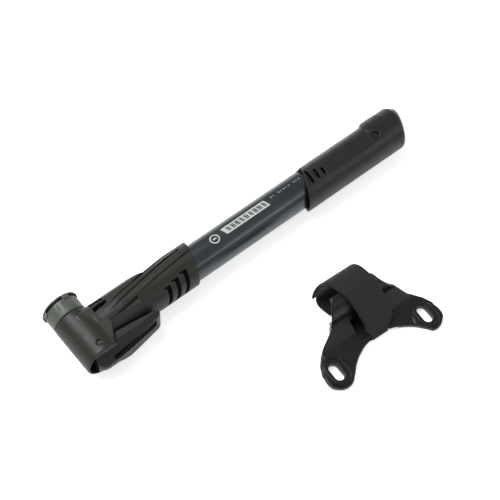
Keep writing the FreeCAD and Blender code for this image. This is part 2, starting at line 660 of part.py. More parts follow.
def bracket_plate():
    """Flat wings that rise in a ramp to the cradle, trimmed to the bracket's plan."""
    plan = prism("bracket_plan", "XY_Plane",
                 [("-slot_half_gap - ear_r + ear_shift", "ear_low"),
                  ("-slot_half_gap - ear_r + ear_shift", "3"), ("-37", "8.4"), ("-33.4", "12.6"),
                  ("-29.6", "15.8"), ("-25", "18.3"), ("-19.8", "21.4"), ("-17.6", "26"), ("-17", "50"),
                  ("17", "50"), ("18", "32"), ("20.4", "28.6"), ("25.6", "24.7"), ("30.8", "18.8"),
                  ("34.6", "14.4"), ("38.4", "9.6"), ("slot_half_gap + ear_r + ear_shift", "4"),
                  ("slot_half_gap + ear_r + ear_shift", "ear_low")], "-1", "40")
    profile = prism("bracket_profile", "YZ_Plane",
                    [("-12", "0"), ("29", "0"), ("29", "14"), ("26", "14.5"), ("23.6", "10.8"),
                     ("ramp_start", "plate_thick"), ("-12", "plate_thick")], "-45", "45")
    wings = common("bracket_wings", plan, fuse("bracket_section", profile, cradle()))
    ears = [rod_shape("ear_%d" % side, "ear_r", "0", "plate_thick", "z",
                      ("%d * slot_half_gap + ear_shift" % side, "ear_low", "0")) for side in (-1, 1)]
    rims = [stadium("rim_%d" % side, "slot_half_wide + rim_wide", "slot_half_long + rim_wide", "0",
                    "plate_thick + rim_high", side) for side in (-1, 1)]
    solid = fuse("bracket_solid", wings, *(ears + rims))
    strap_low, strap_high = "strap_mid - strap_wide / 2 - strap_play", "strap_mid + strap_wide / 2 + strap_play"
    cuts = [rod_shape("arch", "arch_r", "-5", "60", "z", ("0", "arch_y", "0")),
            rod_shape("barrel_place", "cradle_bore_r", "-60", "60", "x", ("0", "cradle_y", "cradle_z")),
            block("strap_channel", (strap_low, "-10", "-1"), (strap_high, "60", "channel_high")),
            block("strap_notch", (strap_low, "-10", "-1"), (strap_high, "6", "20"))]
    cuts += [stadium("slot_%d" % side, "slot_half_wide", "slot_half_long", "-5", "20", side)
             for side in (-1, 1)]
    bracket_turned(cut("bracket", solid, *cuts), "bracket_plate")


def strap_loop(offset):
    """The strap's path round the bracket, seen from its end; offset moves it inwards."""
    path = [(3.4, 0.2), (42.5, 0.2), (46.6, 4.2), (48, 10.5), (47, 17.5), (43.6, 23.4), (38, 27.2),
            (31, 28.2), (24.6, 26.4), (18.6, 21.6), (13.4, 15), (8.4, 8.2), (3.4, 3.8)]
    middle = FreeCAD.Vector(27, 14, 0)
    count = len(path)
    corners = []
    for i, (across, up) in enumerate(path):
        before = FreeCAD.Vector(path[i - 1][0], path[i - 1][1], 0)
        here = FreeCAD.Vector(across, up, 0)
        after = FreeCAD.Vector(path[(i + 1) % count][0], path[(i + 1) % count][1], 0)
        first, second = (here - before).normalize(), (after - here).normalize()
        inward = FreeCAD.Vector(-(first.y + second.y), first.x + second.x, 0).normalize()
        turn = first.getAngle(second)
        assert inward.dot(middle - here) > 0
        shift = inward * (1.0 / math.cos(turn / 2))
        corners.append(("%.3f + (%s) * %.4f" % (across, offset, shift.x),
                        "%.3f + (%s) * %.4f" % (up, offset, shift.y)))
    return corners


def strap():
    low, high = "strap_mid - strap_wide / 2", "strap_mid + strap_wide / 2"
    outside = prism("strap_outside", "YZ_Plane", strap_loop("0"), low, high)
    inside = prism("strap_inside", "YZ_Plane", strap_loop("strap_thick"), low + " - 1", high + " + 1")
    bracket_turned(cut("strap_band", outside, inside), "strap")
    patch = prism("patch_outside", "YZ_Plane", strap_loop("strap_thick"), low + " + 2", high + " - 2")
    patch_inside = prism("patch_inside", "YZ_Plane", strap_loop("strap_thick + patch_thick"), low, high)
    patch_room = block("patch_room", (low, "42", "7"), (high, "60", "19"))
    bracket_turned(common("patch", cut("patch_ring", patch, patch_inside), patch_room), "strap_hook_patch")


# ---------------------------------------------------------------- build, check and write

def check(thing):
    if any(word in ("Invalid", "Error") for word in thing.State):
        raise RuntimeError("%s failed: %s" % (thing.Name, thing.State))


def main():
    fill_sheet()
    head_body()
    lever_pin()
    thumb_lever()
    clamp_plunger()
    valve_seal()
    collar()
    barrel()
    handle()
    piston()
    bracket_plate()
    strap()
    doc.recompute()
    for thing in doc.Objects:
        check(thing)
    os.makedirs("parts", exist_ok=True)
    for piece in subparts:
        shape = piece.Shape
        if shape.isNull() or not shape.isValid():
            raise RuntimeError("%s has no valid shape" % piece.Label)
        box = shape.BoundBox
        print("%-18s %2d solid(s) %9.1f mm3  x %7.2f %7.2f  y %7.2f %7.2f  z %6.2f %6.2f"
              % (piece.Label, len(shape.Solids), shape.Volume, box.XMin, box.XMax, box.YMin, box.YMax,
                 box.ZMin, box.ZMax))
        shape.exportStep("parts/%s.step" % piece.Label)


main()
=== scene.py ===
import json
import math

import bpy
import numpy as np
from mathutils import Matrix, Vector

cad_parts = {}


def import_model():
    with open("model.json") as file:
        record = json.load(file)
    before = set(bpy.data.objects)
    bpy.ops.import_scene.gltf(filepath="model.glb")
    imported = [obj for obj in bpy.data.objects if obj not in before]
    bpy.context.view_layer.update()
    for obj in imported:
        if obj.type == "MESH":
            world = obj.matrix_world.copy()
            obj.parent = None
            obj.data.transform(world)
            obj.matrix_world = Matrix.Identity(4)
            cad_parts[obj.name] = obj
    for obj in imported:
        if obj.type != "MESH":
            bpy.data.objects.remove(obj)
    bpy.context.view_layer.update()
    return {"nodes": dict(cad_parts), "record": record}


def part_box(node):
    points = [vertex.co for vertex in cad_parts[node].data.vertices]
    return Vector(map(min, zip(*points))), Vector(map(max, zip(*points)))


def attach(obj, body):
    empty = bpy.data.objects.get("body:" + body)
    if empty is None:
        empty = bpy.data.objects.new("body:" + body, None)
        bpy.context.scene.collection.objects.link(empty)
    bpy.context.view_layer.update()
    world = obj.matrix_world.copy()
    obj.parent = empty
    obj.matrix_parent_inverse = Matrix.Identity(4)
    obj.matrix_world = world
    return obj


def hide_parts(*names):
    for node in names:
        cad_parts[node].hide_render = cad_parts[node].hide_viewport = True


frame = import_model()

# Lengths in the shape functions are millimetres about the pump's barrel axis (or the middle of the
# bracket's slots); meshes are made in metres in the row frame.
MM = 0.001

BARREL_LOW, BARREL_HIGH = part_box("barrel_tube")
PUMP = np.array([BARREL_LOW[0] + 80.0 * MM, (BARREL_LOW[1] + BARREL_HIGH[1]) / 2,
                 (BARREL_LOW[2] + BARREL_HIGH[2]) / 2])
SLOTS = [m for m in frame["record"]["mounts"] if m["name"] == "bracket_slots"][0]["pos_m"]
BRACKET = np.array([SLOTS[0], SLOTS[1], 0.0])
BRACKET_TURN = math.radians(-3.1)
TEE_X = -113.7
VALVE_X = -115.0
PIN_Y = -12.6


# ---------------------------------------------------------------- distance fields

def smin(a, b, k):
    """The smaller of two distances, with the meeting edge rounded over about k."""
    h = np.maximum(k - np.abs(a - b), 0.0) / k
    return np.minimum(a, b) - h * h * k * 0.25


def smax(a, b, k):
    return -smin(-a, -b, k)


def cut(a, b, k=0.4):
    return smax(a, -b, k)


def rounded(a, b, edge):
    a = a + edge
    b = b + edge
    return np.hypot(np.maximum(a, 0), np.maximum(b, 0)) + np.minimum(np.maximum(a, b), 0) - edge


def span(t, low, high):
    return np.abs(t - (low + high) / 2) - (high - low) / 2


def bar(p, axis, centre, radius, low, high, edge=0.4):
    """A round bar along x, y or z with rounded ends."""
    a = "xyz".index(axis)
    b, c = [i for i in range(3) if i != a]
    radial = np.hypot(p[:, b] - centre[0], p[:, c] - centre[1]) - radius
    return rounded(radial, span(p[:, a], low, high), edge)


def slab(p, low, high, edge=0.4):
    q = np.stack([span(p[:, i], low[i], high[i]) + edge for i in range(3)], 1)
    return np.linalg.norm(np.maximum(q, 0), axis=1) + np.minimum(q.max(1), 0) - edge


def polygon(u, v, corners):
    """Signed distance to a closed outline."""
    best = np.full(u.shape, 1e9, np.float32)
    inside = np.zeros(u.shape, bool)
    for (ax, ay), (bx, by) in zip(corners, corners[1:] + corners[:1]):
        ex, ey = bx - ax, by - ay
        wu, wv = u - ax, v - ay
        t = np.clip((wu * ex + wv * ey) / (ex * ex + ey * ey), 0, 1)
        best = np.minimum(best, (wu - t * ex) ** 2 + (wv - t * ey) ** 2)
        crosses = (ay > v) != (by > v)
        level = ex * wv / (ey if ey else 1e-9)
        inside ^= crosses & (wu < level)
    return np.where(inside, -1.0, 1.0) * np.sqrt(best)


def prism(p, plane, corners, low, high, edge=0.4):
    a, b = ("xyz".index(c) for c in plane)
    along = p[:, 3 - a - b]
    return rounded(polygon(p[:, a], p[:, b], corners), span(along, low, high), edge)


def line_distance(u, v, points):
    """Distance to an open run of straight pieces."""
    best = np.full(u.shape, 1e9, np.float32)
    for (ax, ay), (bx, by) in zip(points, points[1:]):
        ex, ey = bx - ax, by - ay
        wu, wv = u - ax, v - ay
        t = np.clip((wu * ex + wv * ey) / (ex * ex + ey * ey), 0, 1)
        best = np.minimum(best, np.hypot(wu - t * ex, wv - t * ey))
    return best


def plane_side(p, point, normal):
    n = np.array(normal, float)
    n /= np.linalg.norm(n)
    return (p - np.array(point)) @ n


# ---------------------------------------------------------------- from a field to a mesh

def sample(field, low, high, step):
    """Field values on a grid: every point near the surface, and a coarse sign elsewhere."""
    block = 4
    count = np.ceil((np.array(high) - np.array(low)) / step / block).astype(int) + 1
    middle = (block - 1) / 2.0
    grid = np.stack(np.meshgrid(*[np.arange(n) for n in count], indexing="ij"), -1).reshape(-1, 3)
    rough = field(np.array(low) + (grid * block + middle) * step)
    near = np.abs(rough) < block * step * 1.6
    inner = np.stack(np.meshgrid(*[np.arange(block)] * 3, indexing="ij"), -1).reshape(-1, 3)
    values = np.repeat(rough[:, None].astype(np.float32), block ** 3, 1)
    chosen = np.flatnonzero(near)
    for part in np.array_split(chosen, max(1, len(chosen) // 6000)):
        points = (grid[part][:, None, :] * block + inner[None]) * step + np.array(low)
        values[part] = field(points.reshape(-1, 3)).reshape(len(part), -1)
    nx, ny, nz = count
    values = values.reshape(nx, ny, nz, block, block, block).transpose(0, 3, 1, 4, 2, 5)
    return values.reshape(nx * block, ny * block, nz * block)


def surface_nets(values):
    """Corner points, in grid steps, and quads of the zero surface."""
    inside = values < 0
    corners = [(i, j, k) for i in (0, 1) for j in (0, 1) for k in (0, 1)]
    shape = np.array(values.shape) - 1

    def shifted(array, corner):
        return array[corner[0]:corner[0] + shape[0], corner[1]:corner[1] + shape[1],
                     corner[2]:corner[2] + shape[2]]

    filled = sum(shifted(inside, c).astype(np.int8) for c in corners)
    cells = np.argwhere((filled > 0) & (filled < 8))
    index = np.full(shape, -1, np.int32)
    index[tuple(cells.T)] = np.arange(len(cells))
    total = np.zeros((len(cells), 3))
    hits = np.zeros(len(cells))
    for a in corners:
        for axis in range(3):
            if a[axis]:
                continue
            b = list(a)
            b[axis] = 1
            va = values[tuple((cells + a).T)]
            vb = values[tuple((cells + b).T)]
            crossing = (va < 0) != (vb < 0)
            t = np.where(crossing, va / np.where(crossing, va - vb, 1), 0)
            at = np.array(a, float)[None] + t[:, None] * (np.array(b) - np.array(a))[None]
            total += at * crossing[:, None]
            hits += crossing
    points = cells + total / hits[:, None]
    quads = []
    for axis in range(3):
        u, v = [(1, 2), (2, 0), (0, 1)][axis]
        lower = [slice(None)] * 3
        upper = [slice(None)] * 3
        lower[axis] = slice(0, -1)
        upper[axis] = slice(1, None)
        first, second = inside[tuple(lower)], inside[tuple(upper)]
        change = first != second
        edge = np.argwhere(change)
        keep = (edge[:, u] > 0) & (edge[:, v] > 0) & (edge[:, u] < shape[u]) & (edge[:, v] < shape[v])
        edge = edge[keep]
        leaving = first[tuple(edge.T)]
        ring = []
        for du, dv in ((0, 0), (-1, 0), (-1, -1), (0, -1)):
            cell = edge.copy()
            cell[:, u] += du
            cell[:, v] += dv
            ring.append(index[tuple(cell.T)])
        quad = np.stack(ring, 1)
        quads.append(np.where(leaving[:, None], quad, quad[:, ::-1]))
    return points, np.concatenate(quads)


def gradient(field, points, eps=0.04):
    parts = []
    for i in range(3):
        step = np.zeros(3)
        step[i] = eps
        parts.append((field(points + step) - field(points - step)) / (2 * eps))
    return np.stack(parts, 1)


def to_row(points, origin, turn=0.0):
    """Shape millimetres to metres in the row frame."""
    c, s = math.cos(turn), math.sin(turn)
    out = points.copy()
    out[:, 0] = points[:, 0] * c - points[:, 1] * s
    out[:, 1] = points[:, 0] * s + points[:, 1] * c
    return out * MM + origin


def new_object(name, points, faces, normals=None):
    mesh = bpy.data.meshes.new(name)
    mesh.from_pydata([], [], [])
    mesh.vertices.add(len(points))
    mesh.vertices.foreach_set("co", np.asarray(points, np.float32).ravel())
    faces = np.asarray(faces, np.int32)
    sides = faces.shape[1]
    mesh.loops.add(faces.size)
    mesh.loops.foreach_set("vertex_index", faces.ravel())
    mesh.polygons.add(len(faces))
    mesh.polygons.foreach_set("loop_start", np.arange(0, faces.size, sides, dtype=np.int32))
    mesh.polygons.foreach_set("use_smooth", np.ones(len(faces), bool))
    mesh.update(calc_edges=True)
    mesh.validate()
    if normals is not None and len(mesh.vertices) == len(normals):
        mesh.normals_split_custom_set_from_vertices(np.asarray(normals, np.float64).tolist())
    obj = bpy.data.objects.new(name, mesh)
    bpy.context.scene.collection.objects.link(obj)
    return obj


def mould(name, field, low, high, step, origin=None, turn=0.0):
    """A moulded piece: the zero surface of a field, each point moved exactly onto it."""
    step = step * 1.0
    values = sample(field, low, high, step)
    points, quads = surface_nets(values)
    points = points * step + np.array(low)
    for _ in range(3):
        slope = gradient(field, points)
        size = np.maximum((slope ** 2).sum(1), 0.05)
        move = field(points)[:, None] * slope / size[:, None]
        length = np.linalg.norm(move, axis=1, keepdims=True)
        points = points - move * np.minimum(1, 0.5 * step / np.maximum(length, 1e-9))
    normals = gradient(field, points)
    normals /= np.maximum(np.linalg.norm(normals, axis=1, keepdims=True), 1e-9)
    c, s = math.cos(turn), math.sin(turn)
    turned = normals.copy()
    turned[:, 0] = normals[:, 0] * c - normals[:, 1] * s
    turned[:, 1] = normals[:, 0] * s + normals[:, 1] * c
    return new_object(name, to_row(points, PUMP if origin is None else origin, turn), quads, turned)


def lathe(name, profile, axis, centre, segments=128):
    """A closed profile of (along, radius) in millimetres turned about a row axis."""
    segments = segments
    a = "xyz".index(axis)
    b, c = [(1, 2), (2, 0), (0, 1)][a]
    along = np.array([q[0] for q in profile])
    radius = np.array([q[1] for q in profile])
    turn = np.arange(segments) * 2 * math.pi / segments
    points = np.zeros((len(profile), segments, 3))
    points[:, :, a] = along[:, None]
    points[:, :, b] = radius[:, None] * np.cos(turn)[None] + centre[0]
    points[:, :, c] = radius[:, None] * np.sin(turn)[None] + centre[1]
    rows = len(profile)
    i, j = np.meshgrid(np.arange(rows), np.arange(segments), indexing="ij")
    ahead, beside = (i + 1) % rows, (j + 1) % segments
    quads = np.stack([i * segments + j, i * segments + beside, ahead * segments + beside,
                      ahead * segments + j], -1).reshape(-1, 4)
    obj = new_object(name, to_row(points.reshape(-1, 3), PUMP), quads)
    return obj


def soft_profile(corners, radius=0.3, steps=3):
    """A closed profile with its corners rounded, so that edges catch the light."""
    out = []
    n = len(corners)
    for i in range(n):
        before, here, after = (np.array(corners[(i + k) % n], float) for k in (-1, 0, 1))
        da, db = before - here, after - here
        la, lb = np.linalg.norm(da), np.linalg.norm(db)
        r = min(radius, 0.4 * la, 0.4 * lb)
        start, end = here + da / la * r, here + db / lb * r
        for t in np.linspace(0, 1, steps + 1):
            out.append(tuple((1 - t) ** 2 * start + 2 * t * (1 - t) * here + t * t * end))
    return out


# ---------------------------------------------------------------- materials

class Nodes:
    """Short names for building a material's nodes."""

    def __init__(self, name):
        self.material = bpy.data.materials.new(name)
        self.material.use_nodes = True
        self.tree = self.material.node_tree
        self.shader = self.tree.nodes["Principled BSDF"]
        self.place = self.new("ShaderNodeTexCoord").outputs["Object"]

    def new(self, kind, **settings):
        node = self.tree.nodes.new(kind)
        for key, value in settings.items():
            setattr(node, key, value)
        return node

    def link(self, output, socket):
        self.tree.links.new(output, socket)

    def scaled(self, scale):
        mapping = self.new("ShaderNodeMapping")
        mapping.inputs["Scale"].default_value = scale
        self.link(self.place, mapping.inputs["Vector"])
        return mapping.outputs["Vector"]

    def noise(self, scale, detail=4.0, roughness=0.55, vector=None):
        node = self.new("ShaderNodeTexNoise")
        node.inputs["Scale"].default_value = scale
        node.inputs["Detail"].default_value = detail
        node.inputs["Roughness"].default_value = roughness
        self.link(vector if vector is not None else self.place, node.inputs["Vector"])
        return node.outputs["Fac"]

    def curve(self, value, low, high, to_low, to_high):
        node = self.new("ShaderNodeMapRange")
        for key, number in (("From Min", low), ("From Max", high), ("To Min", to_low), ("To Max", to_high)):
            node.inputs[key].default_value = number
        self.link(value, node.inputs["Value"])
        return node.outputs["Result"]

    def math(self, operation, a, b=None):
        node = self.new("ShaderNodeMath", operation=operation)
        for socket, value in zip(node.inputs, (a, b)):
            if value is None:
                continue
            if isinstance(value, (int, float)):
                socket.default_value = value
            else:
                self.link(value, socket)
        return node.outputs["Value"]

    def mix(self, factor, a, b, blend="MIX"):
        node = self.new("ShaderNodeMix", data_type="RGBA", blend_type=blend)
        for socket, value in ((node.inputs["Factor"], factor), (node.inputs[6], a), (node.inputs[7], b)):
            if isinstance(value, tuple):
                socket.default_value = (*value, 1.0)
            elif isinstance(value, (int, float)):
                socket.default_value = value
            else:
                self.link(value, socket)
        return node.outputs[2]

    def bump(self, height, strength, distance, normal=None):
        node = self.new("ShaderNodeBump")
        node.inputs["Strength"].default_value = strength
        node.inputs["Distance"].default_value = distance
        self.link(height, node.inputs["Height"])
        if normal is not None:
            self.link(normal, node.inputs["Normal"])
        return node.outputs["Normal"]

    def set(self, **values):
        for name, value in values.items():
            socket = self.shader.inputs[name.replace("_", " ")]
            if isinstance(value, bpy.types.NodeSocket):
                self.link(value, socket)
            else:
                socket.default_value = (*value, 1.0) if isinstance(value, tuple) else value
        return self.material


def plastic(name, colour, light, rough=0.42, grain=0.35, edge=0.25, spread=0.12, specular=0.5):
    """Moulded plastic: fine spark-eroded grain, faint flow marks, dust, and paler rubbed edges."""
    n = Nodes(name)
    flow = n.noise(55.0, 3.0)
    mottled = n.mix(n.curve(flow, 0.35, 0.65, 0.0, spread), colour, light)
    worn = n.curve(n.new("ShaderNodeNewGeometry").outputs["Pointiness"], 0.515, 0.58, 0.0, edge)
    scuffs = n.curve(n.noise(420.0, 5.0, 0.7), 0.45, 0.7, 0.35, 1.0)
    shown = n.mix(n.math("MULTIPLY", worn, scuffs), mottled, light)
    specks = n.curve(n.noise(1900.0, 2.0, 0.6), 0.68, 0.78, 0.0, 0.10)
    shown = n.mix(specks, shown, light)
    fine = n.noise(5200.0, 2.0, 0.6)
    coarse = n.noise(1300.0, 3.0, 0.5)
    height = n.math("ADD", n.math("MULTIPLY", fine, 0.6), n.math("MULTIPLY", coarse, 0.7))
    roughness = n.curve(n.noise(160.0, 4.0, 0.6), 0.3, 0.7, rough - 0.05, rough + 0.07)
    return n.set(Base_Color=shown, Roughness=roughness, Normal=n.bump(height, grain, 0.00003),
                 Specular_IOR_Level=specular)


def anodised(name):
    """Dark anodised aluminium: satin gloss, faint drawing lines along X, and hairline scratches."""
    n = Nodes(name)
    lines = n.noise(1.0, 5.0, 0.7, n.scaled((25.0, 2600.0, 2600.0)))
    patches = n.curve(n.noise(40.0, 3.0), 0.35, 0.65, 0.0, 1.0)
    tone = n.mix(patches, (0.029, 0.037, 0.042), (0.041, 0.050, 0.056))
    hair = n.curve(n.noise(1.0, 2.0, 0.5, n.scaled((260.0, 900.0, 900.0))), 0.70, 0.74, 0.0, 0.22)
    shown = n.mix(hair, tone, (0.12, 0.13, 0.135))
    roughness = n.curve(lines, 0.3, 0.7, 0.24, 0.36)
    return n.set(Base_Color=shown, Metallic=0.72, Roughness=roughness, Normal=n.bump(lines, 0.12, 0.00002),
                 Coat_Weight=0.22, Coat_Roughness=0.10)


def drawn_metal(name, colour, rough=0.22, along=(30.0, 2600.0, 2600.0)):
    n = Nodes(name)
    lines = n.noise(1.0, 5.0, 0.7, n.scaled(along))
    tone = n.mix(n.curve(n.noise(120.0, 3.0), 0.35, 0.65, 0.0, 0.5), colour, tuple(0.72 * c for c in colour))
    return n.set(Base_Color=tone, Metallic=1.0, Roughness=n.curve(lines, 0.3, 0.7, rough, rough + 0.15),
                 Normal=n.bump(lines, 0.15, 0.00002))


def rubber(name, colour=(0.018, 0.018, 0.018)):
    n = Nodes(name)
    dust = n.curve(n.noise(900.0, 5.0, 0.65), 0.52, 0.72, 0.0, 0.35)
    shown = n.mix(dust, colour, (0.07, 0.07, 0.065))
    return n.set(Base_Color=shown, Roughness=n.curve(n.noise(300.0), 0.3, 0.7, 0.55, 0.75),
                 Normal=n.bump(n.noise(2600.0, 3.0), 0.3, 0.00004))


def print_ink(name, worn, full):
    """Pad-printed light ink, a little thin and uneven."""
    n = Nodes(name)
    thin = n.curve(n.noise(1500.0, 4.0, 0.7), 0.30, 0.55, 0.0, 1.0)
    shown = n.mix(thin, worn, full)
    return n.set(Base_Color=shown, Roughness=n.curve(n.noise(700.0), 0.3, 0.7, 0.38, 0.52), Metallic=0.15,
                 Normal=n.bump(n.noise(3000.0), 0.15, 0.00002))


def woven(name):
    """Loop-faced strap: dark yarn with paler fuzz on the crowns of the weave. Where the weave attribute is 0,
    as on the strap's second sheet, only the dark yarn shows: painted shade for the inside of the loop.
    """
    n = Nodes(name)
    fuzz = n.noise(2600.0, 5.0, 0.75)
    yarn = n.noise(1.0, 3.0, 0.6, n.scaled((2400.0, 900.0, 900.0)))
    height = n.new("ShaderNodeAttribute", attribute_name="weave").outputs["Fac"]
    crown = n.curve(height, 0.35, 0.95, 0.0, 1.0)
    dark = n.mix(n.curve(yarn, 0.3, 0.7, 0.0, 1.0), (0.005, 0.006, 0.005), (0.010, 0.0115, 0.010))
    pale = n.mix(n.curve(fuzz, 0.35, 0.7, 0.0, 1.0), (0.016, 0.018, 0.016), (0.050, 0.054, 0.049))
    shown = n.mix(crown, dark, pale)
    relief = n.math("ADD", n.math("MULTIPLY", fuzz, 0.6), n.math("MULTIPLY", yarn, 0.5))
    return n.set(Base_Color=shown, Roughness=0.85, Specular_IOR_Level=0.2, Sheen_Weight=0.12,
                 Sheen_Roughness=0.45, Normal=n.bump(relief, 0.55, 0.00010))


HEAD = plastic("head_moulding", (0.0115, 0.0112, 0.0088), (0.040, 0.0395, 0.034), 0.44, 0.40, specular=0.30)
LEVER = plastic("lever_moulding", (0.0095, 0.0094, 0.0078), (0.036, 0.0355, 0.031), 0.42, 0.35, specular=0.26)
GRIP = plastic("grip_moulding", (0.0092, 0.0096, 0.0084), (0.035, 0.036, 0.032), 0.40, 0.45, specular=0.28)
CAP = plastic("cap_moulding", (0.035, 0.036, 0.034), (0.075, 0.075, 0.072), 0.40)
COLLAR = plastic("collar_moulding", (0.050, 0.059, 0.050), (0.105, 0.116, 0.10), 0.42, 0.35, spread=0.3,
                 specular=0.4)
BLACK = plastic("black_moulding", (0.007, 0.0075, 0.007), (0.03, 0.03, 0.029), 0.42, specular=0.3)
BRACKET_MAT = plastic("bracket_moulding", (0.0030, 0.0042, 0.0050), (0.013, 0.0155, 0.0175), 0.36, 0.5,
                      specular=0.27)
# Near-black plastic used as painted shade: set in the lever's slot and round the barrel under the gills,
# where there is only shade.
SHADE_BLACK = plastic("painted_shade_black", (0.002, 0.002, 0.002), (0.006, 0.006, 0.006), 0.8, 0.2, specular=0.05)
WHITE = plastic("natural_nylon", (0.62, 0.61, 0.56), (0.74, 0.73, 0.68), 0.45, 0.3)
METAL = anodised("anodised_barrel")
ROD = drawn_metal("drawn_rod", (0.62, 0.63, 0.64))
STEEL = drawn_metal("black_pin", (0.045, 0.045, 0.042), 0.42, (900.0, 900.0, 40.0))
RUBBER = rubber("seal_rubber_skin")
INK = print_ink("pale_ink", (0.30, 0.32, 0.31), (0.46, 0.49, 0.455))
FAINT_INK = print_ink("faint_ink", (0.12, 0.13, 0.13), (0.25, 0.27, 0.25))
WOVEN = woven("woven_loop_tape")


def finish_piece(obj, material, body, node=None):
    obj.data.materials.clear()
    obj.data.materials.append(material)
    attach(obj, body)
    if node:
        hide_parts(*([node] if isinstance(node, str) else node))
    return obj


# ---------------------------------------------------------------- pump head

ARM_LINES = {
    "middle": [(-103.5, -1.9), (-88.6, 1.1), (-76.3, 3.1), (-56.3, 6.6), (-43.0, 7.9)],
    "far": [(-98.0, 3.2), (-86.0, 5.2), (-73.0, 7.4), (-56.0, 10.0), (-45.0, 11.2)],
}


def arm_band(p):
    """How far outside the arm's oblique strip a point is, in plan."""
    centre = [(-106.0, -1.6), (-88.0, 1.3), (-70.0, 4.3), (-52.0, 7.0), (-30.0, 9.6)]
    return line_distance(p[:, 0], p[:, 1], centre) - 4.6


def head_field(p):
    x, y, z = p[:, 0], p[:, 1], p[:, 2]
    mirror = np.abs(z)
    q = np.stack([x, y, mirror], 1)
    sleeve_end = x - (-39.2 + 0.28 * y)

    far = np.clip((y + 3.0) / 16.3, 0, 1)
    tee = rounded(np.hypot(x - TEE_X + 1.3 * far, z) - (12.3 - 1.4 * far), span(y, -18.2, 13.3), 0.9)
    neck = prism(p, "xy", [(-108, -9.6), (-100, -9.6), (-78, -11.6), (-72, -11.6), (-67, 8.6), (-76, 12.3),
                           (-92, 12.9), (-108, 12.9)], -10.4, 10.4, 0.8)
    neck = smax(neck, np.hypot(y, z) - (12.9 + 0.9 * np.clip(y / 4.0, -1, 1)), 0.5)
    deck = prism(p, "xy", [(TEE_X, -18), (-107.3, -18), (-100.3, -6.3), (-98.5, 12.4), (TEE_X, 12.4)],
                 -11.2, 11.2, 0.4)
    deck = smax(deck, plane_side(q, (0, 8.4, 11.2), (0, 0.859, 0.513)), 0.5)
    sleeve = rounded(np.hypot(y, z) - 12.0, np.maximum(sleeve_end, -80.0 - x), 0.7)
    body = smin(smin(neck, sleeve, 0.5), smin(tee, deck, 1.2), 0.4)

    swell = np.clip((x + 75.0) / 25.0, 0, 1)
    fade = 1.7 * np.clip((-90.0 - x) / 14.0, 0, 1)
    arm = smax(np.hypot(y, z) - 13.0 - 0.3 * swell + fade, arm_band(p) - 0.7 * swell ** 2, 0.8)
    arm = smax(arm, np.maximum(sleeve_end + 0.2, -107.0 - x), 0.8)
    body = smin(body, arm, 0.35)
    for points in ARM_LINES.values():
        groove = np.hypot(line_distance(x, y, points), np.maximum(12.7 - np.hypot(y, z), 0)) - 0.55
        body = cut(body, groove, 0.3)

    hub_room = smax(bar(p, "y", (TEE_X, 0), 10.9, -20.0, -5.9, 0.5), span(z, -9.25, 8.35), 0.4)
    lever_room = prism(p, "xy", [(TEE_X, -22), (-62, -22), (-62, -14.6), (-78, -12.2), (-100, -9.9),
                                 (TEE_X, -9.6)], -9.25, 8.35, 0.3)
    body = cut(body, hub_room, 0.5)
    body = cut(body, lever_room, 0.5)
    body = cut(body, bar(p, "y", (VALVE_X, 0), 8.0, -7.0, 30.0, 0.1), 0.5)
    body = cut(body, bar(p, "x", (0, 0), 10.5, -81.0, 10.0, 0.1), 0.5)

    inner_slot = prism(p, "xy", [(-104.3, 4.4), (-95.4, 5.9), (-94.5, 6.8), (-95.4, 7.6), (-104.3, 7.0)],
                       -20, 20, 0.3)
    outer_slot = prism(p, "xy", [(-104.6, 8.9), (-96.4, 8.9), (-95.6, 9.5), (-96.4, 10.1), (-104.6, 10.9)],
                       -20, 20, 0.3)
    body = cut(body, np.minimum(inner_slot, outer_slot), 0.5)

    around = np.degrees(np.arctan2(z, -y))
    for top_x, top_angle, low_x in ((-61.8, 54.0, -64.6), (-55.5, 60.0, -58.6), (-49.0, 66.0, -52.6)):
        share = np.clip((top_angle - around) / (top_angle + 14.0), 0, 1)
        middle = top_x + (low_x - top_x) * share ** 1.5
        across = np.abs(x - middle) - 1.3
        length = span(around, -14.0, top_angle) * 12.0 * math.pi / 180.0
        gill = smax(rounded(across, length, 0.6), 9.5 - np.hypot(y, z), 0.3)
        hook = rounded(np.abs(x - top_x + 1.5) - 1.5,
                       span(around, top_angle - 4.5, top_angle) * 12.0 * math.pi / 180.0, 0.3)
        hook = smax(hook, 9.5 - np.hypot(y, z), 0.3)
        body = cut(body, np.minimum(gill, hook), 0.5)

    pin_hole = np.hypot(x - TEE_X, y - PIN_Y)
    body = cut(body, smax(pin_hole - 1.95, 11.3 - mirror, 0.3), 0.3)
    body = cut(body, np.maximum(pin_hole - 1.5, mirror - 12.0), 0.1)
    spigot = smax(smax(np.hypot(x - VALVE_X, z) - 9.1, 8.0 - np.hypot(x - VALVE_X, z), 0.4),
                  span(y, 11.0, 20.4), 0.4)
    return smin(body, spigot, 0.3)


head = mould("head_moulded", head_field, (-127.5, -18.6, -14.0), (-33.5, 22.0, 14.0), 0.36)
finish_piece(head, HEAD, "pump_body", "head_body")


# ---------------------------------------------------------------- thumb lever

LEVER_PLAN = [(TEE_X, -9.3), (-109.0, -9.8), (-101.0, -10.7), (-76.6, -13.5), (-74.8, -15.0), (-74.8, -16.6),
              (-76.6, -17.6), (-86.0, -19.3), (-95.5, -21.0), (-104.0, -22.3), (-109.0, -23.0),
              (TEE_X, -23.2)]
LEVER_SLOT = [(-110.0, 1.4), (-109.6, 2.8), (-96, 3.8), (-79.5, 4.4), (-78.4, 3.8), (-78.4, -1.6),
              (-79.5, -2.2), (-96, -0.4)]


